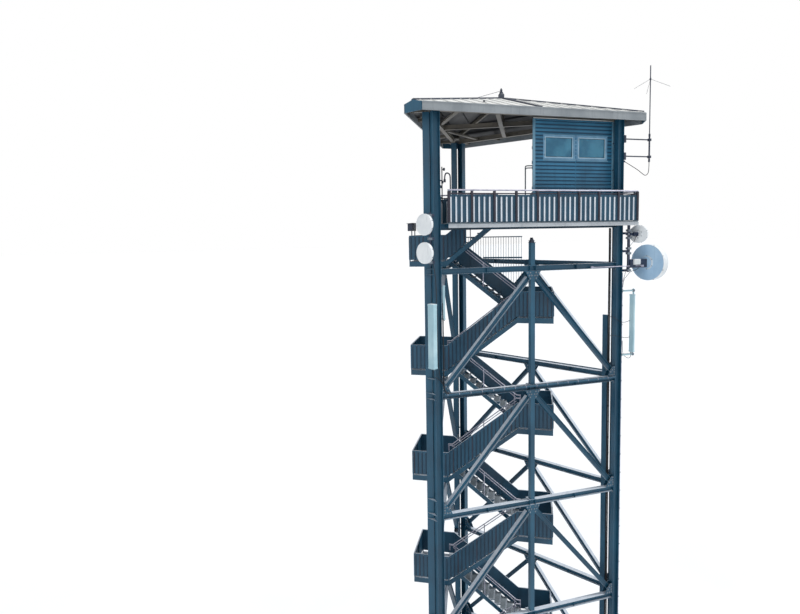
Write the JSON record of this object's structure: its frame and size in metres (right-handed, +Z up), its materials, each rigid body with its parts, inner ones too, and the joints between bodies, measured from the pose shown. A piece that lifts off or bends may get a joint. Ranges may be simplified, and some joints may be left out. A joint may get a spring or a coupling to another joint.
{
  "type": "fire lookout tower",
  "caption": "Tall three-sided steel lattice tower with a zigzag stair, railed deck, corner cabin, low roof and dish antennas.",
  "frame": {"origin": "middle of the left corner's base plate, on its underside, at ground level", "axes": "+Z up; +X from the left corner to the right corner along the front side; +Y to the back corner"},
  "size_m": [9.7031, 8.1543, 32.18],
  "materials": {
    "blue_steel": "semi-gloss paint",
    "galvanised": "dull zinc",
    "deck_plate": "matt",
    "grey_sheet": "satin",
    "railing_sheet": "satin",
    "cabin_cladding": "satin",
    "white_sheet": "satin",
    "pale_frame": "satin",
    "glass": "clear",
    "dark_trim": "matt",
    "white_plastic": "matt",
    "pale_plastic": "matt",
    "pale_rail": "satin"
  },
  "bodies": {
    "root": {"base_plates": "galvanised", "left_columns": "blue_steel", "right_columns": "blue_steel", "back_columns": "blue_steel", "front_beams": "blue_steel", "right_beams": "blue_steel", "left_beams": "blue_steel", "king_posts": "blue_steel", "front_braces": "blue_steel", "right_braces": "blue_steel", "left_braces": "blue_steel", "gusset_plates": "blue_steel", "landing_beams": "blue_steel", "storey_1_flights": "blue_steel", "storey_2_flights": "blue_steel", "storey_3_flights": "blue_steel", "storey_4_flights": "blue_steel", "storey_5_flights": "blue_steel", "storey_6_flights": "blue_steel", "top_flight": "blue_steel", "left_landings": "blue_steel", "right_landings": "blue_steel", "stair_panels": "blue_steel", "stair_handrails": "pale_rail", "bar_guard": "blue_steel", "deck_frame": "blue_steel", "deck_floor": "deck_plate", "deck_fascia": "grey_sheet", "front_railing": "railing_sheet", "right_railing": "railing_sheet", "left_railing": "railing_sheet", "stair_opening_railing": "railing_sheet", "cabin_floor": "deck_plate", "cabin_ceiling": "white_sheet", "cabin_front_wall": "cabin_cladding", "cabin_back_wall": "cabin_cladding", "cabin_door_wall": "cabin_cladding", "window_frames": "pale_frame", "window_panes": "glass", "cabin_door": "cabin_cladding", "cabin_steps": "galvanised", "roof_frame": "blue_steel", "roof_sheets": "white_sheet", "roof_fascia": "grey_sheet", "roof_corner_boards": "blue_steel", "ridge_caps": "dark_trim", "roof_mast": "dark_trim", "cabin_brackets": "blue_steel", "left_dishes": "white_plastic", "right_dishes": "white_plastic", "dish_mounts": "blue_steel", "panel_antennas": "pale_plastic", "whip_mast": "galvanised", "cable_ways": "galvanised"}
  },
  "joints": []
}
